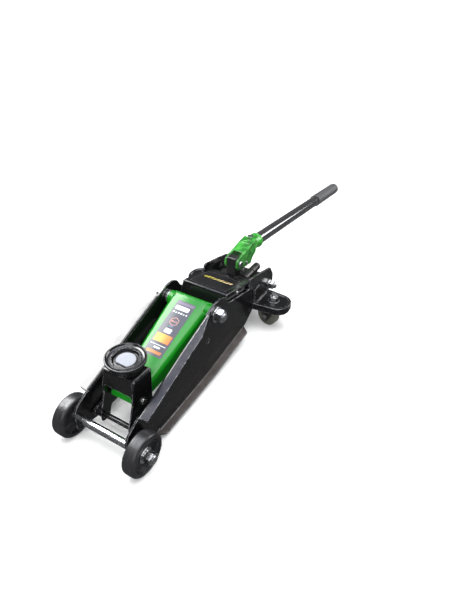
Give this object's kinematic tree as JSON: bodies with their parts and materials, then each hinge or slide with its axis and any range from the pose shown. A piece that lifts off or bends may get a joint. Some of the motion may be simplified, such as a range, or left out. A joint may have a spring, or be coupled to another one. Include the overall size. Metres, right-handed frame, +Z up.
{
  "type": "trolley jack",
  "caption": "Low hydraulic trolley jack: pressed side plates, a lifting arm with a levelled saddle, casters and a pump handle.",
  "frame": {"origin": "middle of the footprint, on the floor", "axes": "+Z up, nose towards -Y, handle towards +Y, +X the right side seen from the nose"},
  "size_m": [0.212, 0.8998, 0.1496],
  "materials": {
    "black_paint": "gloss",
    "green_paint": "gloss",
    "zinc_plate": "bright zinc plating",
    "bare_steel": "turned and oiled",
    "hard_chrome": "ground",
    "cast_iron": "cast, painted black",
    "spring_steel": "drawn wire",
    "wheel_nylon": "moulded, satin",
    "caster_nylon": "moulded, satin",
    "pad_rubber": "ribbed, matt",
    "plug_rubber": "matt",
    "handle_steel": "gloss",
    "grip_rubber": "matt"
  },
  "bodies": {
    "chassis": {"side_plate_right": "black_paint", "side_plate_left": "black_paint", "front_axle": "zinc_plate", "axle_washer_right": "zinc_plate", "axle_washer_left": "zinc_plate", "axle_nut_right": "zinc_plate", "axle_nut_left": "zinc_plate", "arm_pivot_shaft": "zinc_plate", "pivot_washer_right": "zinc_plate", "pivot_washer_left": "zinc_plate", "pivot_nut_right": "zinc_plate", "pivot_nut_left": "zinc_plate", "cover_plate": "black_paint", "cover_screw_right": "zinc_plate", "cover_screw_left": "zinc_plate", "pump_block": "cast_iron", "reservoir": "black_paint", "gland_ring": "bare_steel", "oil_plug": "plug_rubber", "rear_tie_rod": "zinc_plate", "tie_nut_right": "zinc_plate", "tie_nut_left": "zinc_plate", "caster_carrier_right": "black_paint", "caster_carrier_left": "black_paint", "kingpin_right": "zinc_plate", "kingpin_left": "zinc_plate", "link_pin_right": "bare_steel", "link_pin_left": "bare_steel", "return_spring_right": "spring_steel", "return_spring_left": "spring_steel", "plunger_spring": "spring_steel"},
    "arm": {"lift_arm": "green_paint", "crank_pin": "bare_steel", "crank_roller": "bare_steel", "nose_pin": "zinc_plate"},
    "bracket": {"saddle_bracket": "black_paint", "lower_rod": "black_paint"},
    "saddle": {"saddle_cup": "black_paint", "saddle_pad": "pad_rubber"},
    "link_right": {"link_bar_right": "black_paint"},
    "link_left": {"link_bar_left": "black_paint"},
    "ram": {"ram_rod": "hard_chrome", "ram_head": "cast_iron"},
    "plunger": {"pump_plunger": "hard_chrome"},
    "release": {"release_valve": "cast_iron"},
    "handle": {"handle_socket": "green_paint", "socket_pin": "zinc_plate", "pump_roller": "zinc_plate", "roller_pin": "zinc_plate", "set_screw": "zinc_plate", "handle_tube": "handle_steel", "handle_grip": "grip_rubber"},
    "wheel_right": {"front_wheel_right": "wheel_nylon"},
    "wheel_left": {"front_wheel_left": "wheel_nylon"},
    "caster_right": {"caster_fork_right": "bare_steel", "caster_axle_right": "zinc_plate"},
    "caster_wheel_right": {"caster_wheel_right": "caster_nylon"},
    "caster_left": {"caster_fork_left": "bare_steel", "caster_axle_left": "zinc_plate"},
    "caster_wheel_left": {"caster_wheel_left": "caster_nylon"}
  },
  "joints": [
    {"name": "arm_lift", "type": "hinge", "parent": "chassis", "child": "arm", "pos_m": [0, -0.20539, 0.118], "axis": [-1, 0, 0], "range_deg": [0, 75]},
    {"name": "bracket_level", "type": "hinge", "parent": "arm", "child": "bracket", "pos_m": [0, -0.36739, 0.067], "axis": [-1, 0, 0], "range_deg": [-75, 0]},
    {"name": "saddle_turn", "type": "hinge", "parent": "bracket", "child": "saddle", "pos_m": [0, -0.36039, 0.113], "axis": [0, 0, 1], "continuous": true},
    {"name": "link_swing_right", "type": "hinge", "parent": "chassis", "child": "link_right", "pos_m": [0.0381, -0.22939, 0.081], "axis": [-1, 0, 0], "range_deg": [0, 75]},
    {"name": "link_swing_left", "type": "hinge", "parent": "chassis", "child": "link_left", "pos_m": [-0.0381, -0.22939, 0.081], "axis": [-1, 0, 0], "range_deg": [0, 75]},
    {"name": "ram_slide", "type": "slide", "parent": "chassis", "child": "ram", "axis": [0, -1, 0], "range_m": [0, 0.055]},
    {"name": "handle_pump", "type": "hinge", "parent": "chassis", "child": "handle", "pos_m": [0, -0.07039, 0.124], "axis": [1, 0, 0], "range_deg": [0, 50]},
    {"name": "plunger_slide", "type": "slide", "parent": "chassis", "child": "plunger", "axis": [0, 0, 1], "range_m": [0, 0.022], "deforming": ["plunger_spring"]},
    {"name": "release_turn", "type": "hinge", "parent": "chassis", "child": "release", "pos_m": [0.02, -0.04539, 0.094], "axis": [0, 1, 0], "range_deg": [0, 180]},
    {"name": "wheel_spin_right", "type": "hinge", "parent": "chassis", "child": "wheel_right", "pos_m": [0.0625, -0.41739, 0.0325], "axis": [1, 0, 0], "continuous": true},
    {"name": "wheel_spin_left", "type": "hinge", "parent": "chassis", "child": "wheel_left", "pos_m": [-0.0625, -0.41739, 0.0325], "axis": [1, 0, 0], "continuous": true},
    {"name": "caster_swivel_right", "type": "hinge", "parent": "chassis", "child": "caster_right", "pos_m": [0.074, -0.04939, 0.05], "axis": [0, 0, 1], "continuous": true},
    {"name": "caster_roll_right", "type": "hinge", "parent": "caster_right", "child": "caster_wheel_right", "pos_m": [0.0652, -0.04752, 0.02], "axis": [0.2079, 0.9781, 0], "continuous": true},
    {"name": "caster_swivel_left", "type": "hinge", "parent": "chassis", "child": "caster_left", "pos_m": [-0.074, -0.04939, 0.05], "axis": [0, 0, 1], "continuous": true},
    {"name": "caster_roll_left", "type": "hinge", "parent": "caster_left", "child": "caster_wheel_left", "pos_m": [-0.0652, -0.04752, 0.02], "axis": [0.2079, -0.9781, 0], "continuous": true}
  ],
  "couplings": [
    {"joint": "bracket_level", "follows": "arm_lift", "ratio": -1},
    {"joint": "link_swing_right", "follows": "arm_lift", "ratio": 1},
    {"joint": "link_swing_left", "follows": "arm_lift", "ratio": 1},
    {"joint": "ram_slide", "follows": "arm_lift", "m_per_rad": 0.041854},
    {"joint": "plunger_slide", "follows": "handle_pump", "m_per_rad": 0.024752}
  ]
}
